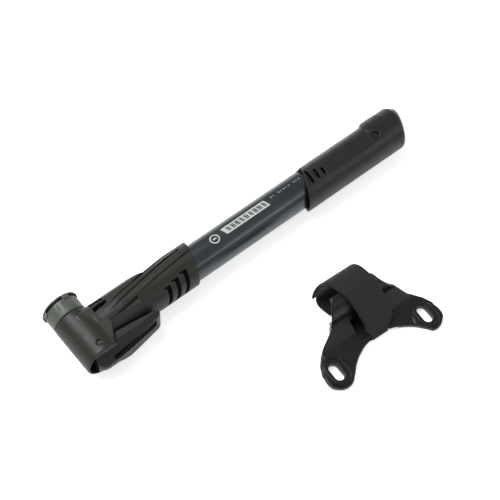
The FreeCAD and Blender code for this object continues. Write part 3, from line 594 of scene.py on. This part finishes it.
def lever_field(p):
    x, y, z = p[:, 0], p[:, 1], p[:, 2]
    blade = prism(p, "xy", LEVER_PLAN, -8.7, 8.0, 0.7)
    facet = plane_side(p, (0, -15.9, 8.0), (0, -1, 1))
    blade = smax(blade, facet, 0.7)
    reach = 10.6 + 0.22 * np.maximum(x - TEE_X - 6.0, 0)
    blade = smax(blade, np.hypot(y - PIN_Y, z) - reach, 0.8)
    blade = smax(blade, TEE_X - x, 0.05)
    ball = np.sqrt((x - TEE_X) ** 2 + (y - PIN_Y) ** 2 + z ** 2) - 10.6
    ball = smax(smax(ball, span(z, -8.7, 8.0), 0.8), np.maximum(TEE_X - 6.2 - x, x - TEE_X - 0.5), 0.8)
    ball = smax(smax(ball, facet, 0.7), np.maximum(y - PIN_Y, -23.2 - y), 0.05)
    body = smin(blade, ball, 0.4)
    cam_block = slab(p, (TEE_X - 4.0, PIN_Y - 3.0, -5.5), (TEE_X + 3.0, PIN_Y + 4.1, 5.5), 0.5)
    round_cam = smax(np.hypot(x - TEE_X, y - PIN_Y) - 4.15, np.abs(z) - 5.5, 0.4)
    body = smin(body, smax(cam_block, round_cam, 0.3), 0.3)
    slot = prism(p, "xz", LEVER_SLOT, -26.0, -15.4, 0.5)
    body = cut(body, slot, 0.5)
    tick = slab(p, (-104.6, -23.6, -5.6), (-103.6, -21.4, -4.0), 0.2)
    body = cut(body, tick, 0.2)
    return cut(body, np.hypot(x - TEE_X, y - PIN_Y) - 1.56, 0.1)


lever = mould("lever_moulded", lever_field, (-122.6, -23.4, -10.4), (-72.6, -6.6, 10.2), 0.30)
finish_piece(lever, LEVER, "lever", "thumb_lever")


def lever_slot_shade_field(p):
    """Painted shade: a black infill just under the mouth of the lever's slot, darkening the slot as shade
    would.
    """
    room = prism(p, "xz", LEVER_SLOT, -26.0, -15.0, 0.5) - 0.25
    return smax(room, polygon(p[:, 0], p[:, 1], LEVER_PLAN) + 0.7, 0.2)


# The lever slot's painted shade.
slot_shade = mould("lever_slot_painted_shade", lever_slot_shade_field, (-112.0, -23.0, -4.0), (-77.0, -13.6, 5.2), 0.34)
finish_piece(slot_shade, SHADE_BLACK, "lever")


# ---------------------------------------------------------------- collar and its end ring

def collar_field(p):
    x, y, z = p[:, 0] - VALVE_X, p[:, 1], p[:, 2]
    radius = np.hypot(x, z)
    around = np.arctan2(z, x)
    body = rounded(radius - 10.8, span(y, 13.5, 22.9), 0.7)
    step = 2 * math.pi / 20
    off = (np.mod(around + step / 2, step) - step / 2) * 10.8
    groove = rounded(np.abs(off) - 0.22, span(y, 17.0, 21.2), 0.2)
    body = cut(body, smax(groove, 10.45 - radius, 0.2), 0.25)
    lugs = (np.mod(around - math.radians(-20) + math.pi / 4, math.pi / 2) - math.pi / 4) * 10.8
    lug = smax(rounded(np.abs(lugs) - 2.1, span(y, 21.4, 24.6), 0.5), np.abs(radius - 10.9) - 0.75, 0.5)
    body = smin(body, lug, 0.4)
    body = cut(body, np.maximum(radius - 9.16, y - 21.5), 0.3)
    return cut(body, radius - 5.4, 0.5)


collar = mould("collar_moulded", collar_field,
               (VALVE_X - 12.6, 12.6, -12.6), (VALVE_X + 12.6, 26.4, 12.6), 0.26)
finish_piece(collar, COLLAR, "collar", "valve_collar")


def end_ring_field(p):
    x, y, z = p[:, 0] - VALVE_X, p[:, 1], p[:, 2]
    radius = np.hypot(x, z)
    around = np.arctan2(z, x)
    body = smax(rounded(radius - 11.7, span(y, 22.95, 24.6), 0.5), 7.5 - radius, 0.5)
    lugs = (np.mod(around - math.radians(-20) + math.pi / 4, math.pi / 2) - math.pi / 4) * 10.8
    return cut(body, np.maximum(np.abs(lugs) - 2.25, 10.0 - radius), 0.2)


end_ring = mould("end_ring_moulded", end_ring_field,
                 (VALVE_X - 12.6, 23.0, -12.6), (VALVE_X + 12.6, 26.0, 12.6), 0.26)
finish_piece(end_ring, BLACK, "collar", "collar_end_ring")


# ---------------------------------------------------------------- barrel and print

BARREL_R = 10.5
BARREL_BORE_R = 9.3

barrel_wall = [(-80, BARREL_R), (-80, BARREL_BORE_R), (90, BARREL_BORE_R), (90, BARREL_R)]
barrel = lathe("barrel_turned", soft_profile(barrel_wall, 0.25), "x", (0, 0), 160)
finish_piece(barrel, METAL, "pump_body", "barrel_tube")


# Painted shade: black sheets round the barrel, seen through the gills, where there is only shade.
for name, body, low, high, inner, outer in (("sleeve_painted_shade", "pump_body", -67.5, -46.0, 10.54, 10.95),
                                            ("grip_painted_shade", "handle", 45.5, 61.0, 10.53, 10.6)):
    wall = [(low, outer), (low, inner), (high, inner), (high, outer)]
    shade_piece = lathe(name, soft_profile(wall, 0.05), "x", (0, 0))
    finish_piece(shade_piece, SHADE_BLACK, body)


def wrap_patch(name, outline, lift=0.012):
    """A printed shape on the barrel: outline points are (x, distance round from the top, towards -Y)."""
    points = []
    faces = []
    for ring in outline:
        start = len(points)
        for along, round_way in ring:
            angle = round_way / BARREL_R
            r = BARREL_R + lift
            points.append((along, -r * math.sin(angle), r * math.cos(angle)))
        faces.append(list(range(start, len(points))))
    mesh = bpy.data.meshes.new(name)
    mesh.from_pydata(to_row(np.array(points), PUMP).tolist(), [], faces)
    mesh.update()
    obj = bpy.data.objects.new(name, mesh)
    bpy.context.scene.collection.objects.link(obj)
    return obj


def grid_quads(x0, x1, a0, a1, lean=0.0, hole=None):
    """Small quads that fill a leaning block, leaving out where hole says."""
    quads = []
    size = 0.35
    nx, na = max(1, int(round((x1 - x0) / size))), max(1, int(round((a1 - a0) / size)))
    for i in range(nx):
        for j in range(na):
            xa, xb = (x0 + (x1 - x0) * (i + k) / nx for k in (0, 1))
            aa, ab = (a0 + (a1 - a0) * (j + k) / na for k in (0, 1))
            if hole and hole((xa + xb) / 2, (aa + ab) / 2):
                continue
            corners = ((xa, aa), (xb, aa), (xb, ab), (xa, ab))
            quads.append([(x + lean * a, a) for x, a in corners])
    return quads


def printed_bar():
    """A long leaning plate with plain dashes left open, in place of a printed name."""
    def open_here(x, a):
        if abs(a) > 1.55:
            return False
        cell = (x + 13.0) % 3.3
        return 0.0 <= x + 13.0 < 29.5 and cell < 2.3 and abs(abs(a) - 0.75) > 0.28
    return grid_quads(-15.3, 16.6, -2.6, 2.6, 0.32, open_here)


def emblem():
    """A plain ring with a bar across it."""
    quads = []
    steps = 40
    for i in range(steps):
        a, b = (2 * math.pi * (i + k) / steps for k in (0, 1))
        corners = ((3.1, a), (3.1, b), (2.3, b), (2.3, a))
        quads.append([(-22.4 + r * math.cos(t), r * math.sin(t)) for r, t in corners])
    quads += grid_quads(-23.5, -21.3, -0.45, 0.45, 0.3)
    return quads


def small_marks():
    """A row of plain dashes of two widths."""
    quads = []
    at = 20.5
    for width in (1.0, 0.6, None, 1.0, 0.6, 1.0, 0.6, 1.0, None, 1.0, 0.6, 1.0):
        if width:
            quads += grid_quads(at, at + width, -0.5, 0.5, 0.3)
        at += 1.9
    return quads


def shifted_round(quads, by):
    return [[(x, a + by) for x, a in quad] for quad in quads]


for name, quads, by, ink in (("print_plate", printed_bar(), -1.1, INK), ("print_emblem", emblem(), -0.5, INK),
                             ("print_marks", small_marks(), -2.4, FAINT_INK)):
    finish_piece(wrap_patch(name, shifted_round(quads, by)), ink, "pump_body")


# ---------------------------------------------------------------- handle

def handle_field(p):
    x, y, z = p[:, 0], p[:, 1], p[:, 2]
    radius = np.hypot(y + 1.15, z)
    front = (44.3 + 0.46 * y) - x
    end = x - (118.1 + 0.25 * y)
    outer = radius - 12.3
    flat = 0.9204 * y + 0.3909 * z - (10.95 + 0.9 * np.clip((x - 80) / 14, 0, 1))
    outer = smax(outer, flat, 2.0)
    crease_at = 11.68 + 0.02 * np.maximum(66 - x, 0) + 0.6 * np.clip((x - 92) / 6, 0, 1)
    crease = -0.1135 * y + 0.9935 * z - crease_at
    wall = np.hypot(y, z) - 11.2 - 0.7 * np.clip((2.0 - z) / 6.0, 0, 1)
    outer = smin(smax(outer, crease, 0.15), wall, 0.4)
    tail = np.hypot(y - 0.2, z) - 12.45
    tail = smax(tail, 101.5 - x + 0.1 * y, 1.2)
    outer = smin(outer, tail, 1.6)
    pad = np.hypot(x - 101.8, y - 4.6) - 8.0
    pad = smax(smax(pad, np.hypot(y + 0.1, z) - 12.9, 0.9), 2.0 - z, 0.5)
    outer = smin(outer, pad, 0.5)
    body = rounded(outer, front, 0.35)
    rim = 3.2 + 2.8 * np.clip(y / 10.0, 0, 1)
    a, b = outer + rim, end + rim
    corner = np.hypot(np.maximum(a, 0), np.maximum(b, 0)) + np.minimum(np.maximum(a, b), 0) - rim
    body = smax(body, corner, 0.2)
    front_bore = smax(np.hypot(y + 0.75, z) - 11.35, x - 57.0, 0.3)
    back_bore = smax(np.hypot(y, z) - 10.6, x - 93.2, 0.3)
    bore = np.minimum(front_bore, back_bore)
    body = cut(body, bore, 0.3)

    plan_y = y
    for at, low_y, high_y in ((47.6, -5.6, 3.4), (52.5, -5.0, 1.2), (57.0, -4.9, -0.6)):
        lean = 0.16 * (plan_y - low_y) - 0.03 * (plan_y - low_y) ** 2 * 0.3
        gill = rounded(np.abs(x - at - lean + 0.8) - 0.95, span(y, low_y, high_y), 0.5)
        body = cut(body, np.maximum(gill, 6.0 - z), 0.4)

    lean = math.radians(15.0)
    ly = y * math.cos(lean) + z * math.sin(lean)
    lz = -y * math.sin(lean) + z * math.cos(lean)
    recess = smax(np.hypot(x - 97.0, ly) - 2.4, 10.9 - lz, 0.3)
    body = cut(body, recess, 0.5)
    cap_room = smax(np.hypot(y, z) - 9.5, (118.5 - 2.4 + 0.287 * y) - x, 0.1)
    return cut(body, cap_room, 0.3)


handle = mould("handle_moulded", handle_field, (36.5, -15.2, -14.2), (126.5, 14.6, 14.2), 0.36)
finish_piece(handle, GRIP, "handle", "handle_grip")


# ---------------------------------------------------------------- frame bracket

PLAN = [(-39.6, -20.0), (-39.6, 3.0), (-37.0, 8.4), (-33.4, 12.6), (-29.6, 15.8), (-25.0, 18.3),
        (-19.8, 21.4), (-17.8, 26.0), (-17.3, 32.0), (-17.0, 50.0), (17.0, 50.0), (17.6, 33.5),
        (20.4, 28.8), (25.6, 24.7), (30.8, 18.8), (34.6, 14.4), (38.4, 9.6), (41.0, 4.0), (41.0, -20.0)]


def bracket_field(p):
    x, y, z = p[:, 0], p[:, 1], p[:, 2]
    side = np.abs(x - 0.7)
    top = [(-30, 3.2), (12.4, 3.2), (13.8, 3.8), (23.6, 10.8), (26.4, 16.0), (28.5, 20.0), (28, 14),
           (26.5, 7), (28, 4.4), (30, 3.2), (30, 0), (-30, 0)]
    section = polygon(y, z, top)
    shell = np.abs(np.hypot(y - 34.5, z - 13.1) - 11.85) - 0.85
    shell = smax(shell, -(0.9848 * (34.5 - y) + 0.1736 * (z - 13.1)) - 1.2, 0.9)
    shell = smax(shell, -(0.807 * (34.5 - y) + 0.59 * (z - 13.1)), 0.6)
    shell = smax(shell, np.maximum(z - 24.2, y - 33.5), 0.8)
    section = smin(section, shell, 1.2)
    wings = smax(section, polygon(x, y, PLAN), 1.3)
    slope = 0.64 * (z - 22.0 + 1.2 * (np.abs(x) - 17.0))
    wings = smax(wings, smin(z - 3.3, slope, 1.0), 1.2)
    ear_round = np.hypot(side - 32.0, y + 2.6) - 8.3
    ear = smax(ear_round, span(z, 0, 3.2), 1.0)
    wings = np.maximum(wings, np.where((y < -2.6) & (side > 32.0), ear_round, -9.0))
    wings = smax(wings, -7.0 - y, 1.0)
    body = smin(wings, ear, 1.5)
    body = cut(body, slab(p, (-30.0, 24.6, -3.0), (-9.0, 60.0, 6.0), 0.3), 0.6)

    slot = np.hypot(np.abs(x) - 32.0, y - np.clip(y, -2.9, 2.9))
    rim = smax(slot - 5.4, span(z, 0, 4.1), 0.7)
    body = smin(body, rim, 0.3)
    groove = np.hypot(np.maximum(slot - 6.1, 6.1 - slot), np.maximum(3.25 - z, 0)) - 0.42
    body = cut(body, groove, 0.3)
    body = cut(body, slot - 2.8, 0.9)

    arch = np.hypot(x - 2.0, y + 27.2) - 32.6
    body = cut(body, arch, 0.9)
    body = cut(body, np.hypot(y - 34.5, z - 13.1) - 11.0, 0.3)
    channel = slab(p, (-14.0, 3.0, -3.0), (16.4, 60.0, 1.9), 0.3)
    notch = slab(p, (-4.0, -10.0, -3.0), (9.6, 6.3, 30.0), 0.4)
    gap = prism(p, "xy", [(-7.2, 8.0), (-2.0, 8.0), (-2.0, 20.0), (-7.6, 20.0)], -3.0, 9.0, 0.4)
    body = cut(body, np.minimum(np.minimum(channel, notch), gap), 0.4)
    return smax(body, -z, 0.5)


bracket = mould("bracket_moulded", bracket_field, (-42.0, -12.5, -1.0), (43.0, 39.0, 28.5), 0.36,
                BRACKET, BRACKET_TURN)
finish_piece(bracket, BRACKET_MAT, "bracket", "bracket_plate")


# ---------------------------------------------------------------- strap

def smooth_path(points, step):
    """Even steps along a smooth curve through the points (Catmull-Rom)."""
    pts = np.array(points, float)
    padded = np.vstack([2 * pts[0] - pts[1], pts, 2 * pts[-1] - pts[-2]])
    out = []
    for i in range(1, len(padded) - 2):
        a, b, c, d = padded[i - 1:i + 3]
        t = np.linspace(0, 1, 40, endpoint=False)[:, None]
        out.append(0.5 * (2 * b + (c - a) * t + (2 * a - 5 * b + 4 * c - d) * t ** 2
                          + (3 * b - a - 3 * c + d) * t ** 3))
    dense = np.vstack(out + [pts[-1:]])
    lengths = np.concatenate([[0], np.cumsum(np.linalg.norm(np.diff(dense, axis=0), axis=1))])
    count = int(lengths[-1] / step)
    at = np.linspace(0, lengths[-1], count)
    return np.stack([np.interp(at, lengths, dense[:, i]) for i in range(2)], 1), at


def strap_mesh(name, path_points, low_x, high_x, thick, step, amount=0.13):
    """A woven band along a path in the bracket's (y, z) plane, with the weave as real relief."""
    step = step * 1.0
    path, at = smooth_path(path_points, step)
    tangent = np.gradient(path, axis=0)
    tangent /= np.linalg.norm(tangent, axis=1, keepdims=True)
    normal = np.stack([-tangent[:, 1], tangent[:, 0]], 1)
    across = np.linspace(low_x, high_x, int((high_x - low_x) / step) + 1)
    s, w = np.meshgrid(at, across, indexing="ij")
    pitch = 1.15
    warp = np.sin(math.pi * (s + 0.5 * w) / pitch) * np.sin(math.pi * (w - 0.35 * s) / (pitch * 0.85))
    weave = 0.5 + 0.5 * warp
    edge = np.minimum(w - low_x, high_x - w)
    bound = np.clip(edge / 1.1, 0, 1)
    weave = weave * (0.35 + 0.65 * bound)
    hem = np.where(edge < 1.1, 0.10, 0.0)
    rng = np.random.default_rng(5)
    wander = np.interp(at, np.linspace(0, at[-1], 9), rng.normal(0, 0.18, 9))[:, None]
    height = thick / 2 - amount + amount * 2 * weave * 0.5 + hem
    rounding = np.sqrt(np.clip(1 - (1 - np.clip(edge / 0.7, 0, 1)) ** 2, 0.05, 1))
    share = (w - low_x) / (high_x - low_x)
    y, z = path[:, :1], path[:, 1:]
    flare = 4.0 * np.clip((14.0 - z) / 12.0, 0, 1) * np.clip((y - 22.0) / 10.0, 0, 1)
    flare = flare + 6.0 * np.clip((1.35 - z) / 0.2, 0, 1) * np.clip((30.0 - y) / 20.0, 0, 1)
    skew = (1 - share) * (5.2 - 0.24 * (y - 7.0) - flare)
    skew = skew + share * (3.2 - 0.1 * (y - 10.7) - 1.5 * np.maximum(9.8 - y, 0))
    sheets = []
    for sign in (1, -1):
        lift = sign * height * rounding
        y = path[:, 0][:, None] + normal[:, 0][:, None] * lift
        z = path[:, 1][:, None] + normal[:, 1][:, None] * lift
        sheets.append(np.stack([w + wander + skew, y, z], -1))
    rows, cols = s.shape
    points = np.concatenate([sheets[0].reshape(-1, 3), sheets[1].reshape(-1, 3)])
    index = np.arange(rows * cols).reshape(rows, cols)
    upper = np.stack([index[:-1, :-1], index[1:, :-1], index[1:, 1:], index[:-1, 1:]], -1).reshape(-1, 4)
    lower = upper[:, ::-1] + rows * cols
    n = rows * cols
    rim = list(index[0, :]) + list(index[1:, -1]) + list(index[-1, -2::-1]) + list(index[-2:0:-1, 0])
    sides = [(a, b, b + n, a + n) for a, b in zip(rim, rim[1:] + rim[:1])]
    faces = np.concatenate([upper, lower, np.array(sides)])
    obj = new_object(name, to_row(points, BRACKET, BRACKET_TURN), faces)
    # Painted shade: the second sheet gets a weave value of 0, so it shows only the dark yarn, for the shaded
    # inside of the loop.
    shade = obj.data.attributes.new("weave", "FLOAT", "POINT")
    shade.data.foreach_set("value", np.concatenate([weave.ravel(), 0 * weave.ravel()]).astype(np.float32))
    return obj


STRAP_LOW, STRAP_HIGH = 2.2 - 9.9, 2.2 + 9.9
STRAP_PATH = [(38.0, 21.6), (40.6, 19.0), (42.6, 14.6), (43.3, 9.6), (42.6, 5.2), (39.8, 2.2), (34.0, 1.1),
              (20.0, 1.05), (8.0, 1.05), (5.4, 1.4), (5.2, 2.6), (7.6, 4.6), (10.8, 8.8), (13.9, 13.5),
              (17.8, 18.1), (22.6, 22.3), (28.2, 24.9), (33.5, 25.2), (38.2, 23.9), (42.0, 20.4),
              (44.8, 14.8), (45.8, 8.6), (45.2, 3.4)]
strap = strap_mesh("strap_woven", STRAP_PATH, STRAP_LOW, STRAP_HIGH, 1.5, 0.27)
finish_piece(strap, WOVEN, "bracket", ("strap", "strap_hook_patch"))


# ---------------------------------------------------------------- carried-over nodes

CARRIED = {"lever_pin": STEEL, "clamp_plunger": WHITE, "plunger_oring": RUBBER, "valve_seal": RUBBER,
           "barrel_gasket": RUBBER, "check_valve_seat": WHITE, "check_valve_flap": RUBBER,
           "rod_guide_bush": BLACK, "rod_wiper": RUBBER, "handle_end_cap": CAP, "piston_rod": ROD,
           "rod_socket": BLACK, "handle_cross_pin": STEEL, "piston": WHITE, "piston_seal_ring": RUBBER}
for node, material in CARRIED.items():
    obj = frame["nodes"][node]
    if not obj.data.materials:
        obj.data.materials.append(material)
    for holder in obj.material_slots:
        holder.material = material


# ---------------------------------------------------------------- floor, light and camera

def stage():
    bpy.ops.mesh.primitive_plane_add(size=12.0, location=(0, 0, -0.0002))
    floor = bpy.context.object
    floor.name = "stage_floor"
    n = Nodes("pale_floor")
    n.set(Base_Color=(0.85, 0.85, 0.85), Roughness=0.9, Specular_IOR_Level=0.1,
          Emission_Color=(1.0, 1.0, 1.0), Emission_Strength=0.55)
    floor.data.materials.append(n.material)


def lamp(name, direction, distance, size, power, colour=(1, 1, 1)):
    light = bpy.data.lights.new(name, "AREA")
    light.shape = "RECTANGLE"
    light.size, light.size_y = size
    light.energy = power
    light.color = colour
    obj = bpy.data.objects.new(name, light)
    obj.location = Vector(direction).normalized() * distance
    obj.rotation_euler = (-Vector(direction)).to_track_quat("-Z", "Y").to_euler()
    bpy.context.scene.collection.objects.link(obj)


def camera():
    eye = Vector((-325.27, -357.81, 811.58)) * MM + Vector(PUMP)
    e, phi, roll = (math.radians(a) for a in (59.973, 42.723, 4.059))
    right = Vector((math.cos(phi), -math.sin(phi), 0))
    ahead = Vector((math.sin(phi), math.cos(phi), 0))
    forward = ahead * math.cos(e) - Vector((0, 0, 1)) * math.sin(e)
    up = ahead * math.sin(e) + Vector((0, 0, 1)) * math.cos(e)
    right, up = right * math.cos(roll) + up * math.sin(roll), up * math.cos(roll) - right * math.sin(roll)
    data = bpy.data.cameras.new("camera")
    data.sensor_width = 36.0
    data.lens = 1624.909 * 36.0 / 500.0
    data.clip_start, data.clip_end = 0.05, 30.0
    cam = bpy.data.objects.new("camera", data)
    basis = Matrix((right, up, -forward)).transposed().to_4x4()
    cam.matrix_world = Matrix.Translation(eye) @ basis
    bpy.context.scene.collection.objects.link(cam)
    bpy.context.scene.camera = cam


def world():
    scene = bpy.context.scene
    scene.world = bpy.data.worlds.new("studio")
    scene.world.use_nodes = True
    back = scene.world.node_tree.nodes["Background"]
    back.inputs["Color"].default_value = (1.0, 1.0, 1.0, 1.0)
    back.inputs["Strength"].default_value = 0.50
    scene.view_settings.view_transform = "Standard"
    scene.view_settings.look = "None"


stage()
world()
lamp("key", (-0.35, 0.55, 1.0), 1.3, (0.8, 0.6), 17.0)
lamp("band", (0.34, -0.73, 0.60), 1.2, (0.5, 0.2), 0.9)
lamp("side", (0.9, -0.6, 0.7), 1.3, (0.5, 0.5), 3.0, (0.93, 0.96, 1.0))
camera()
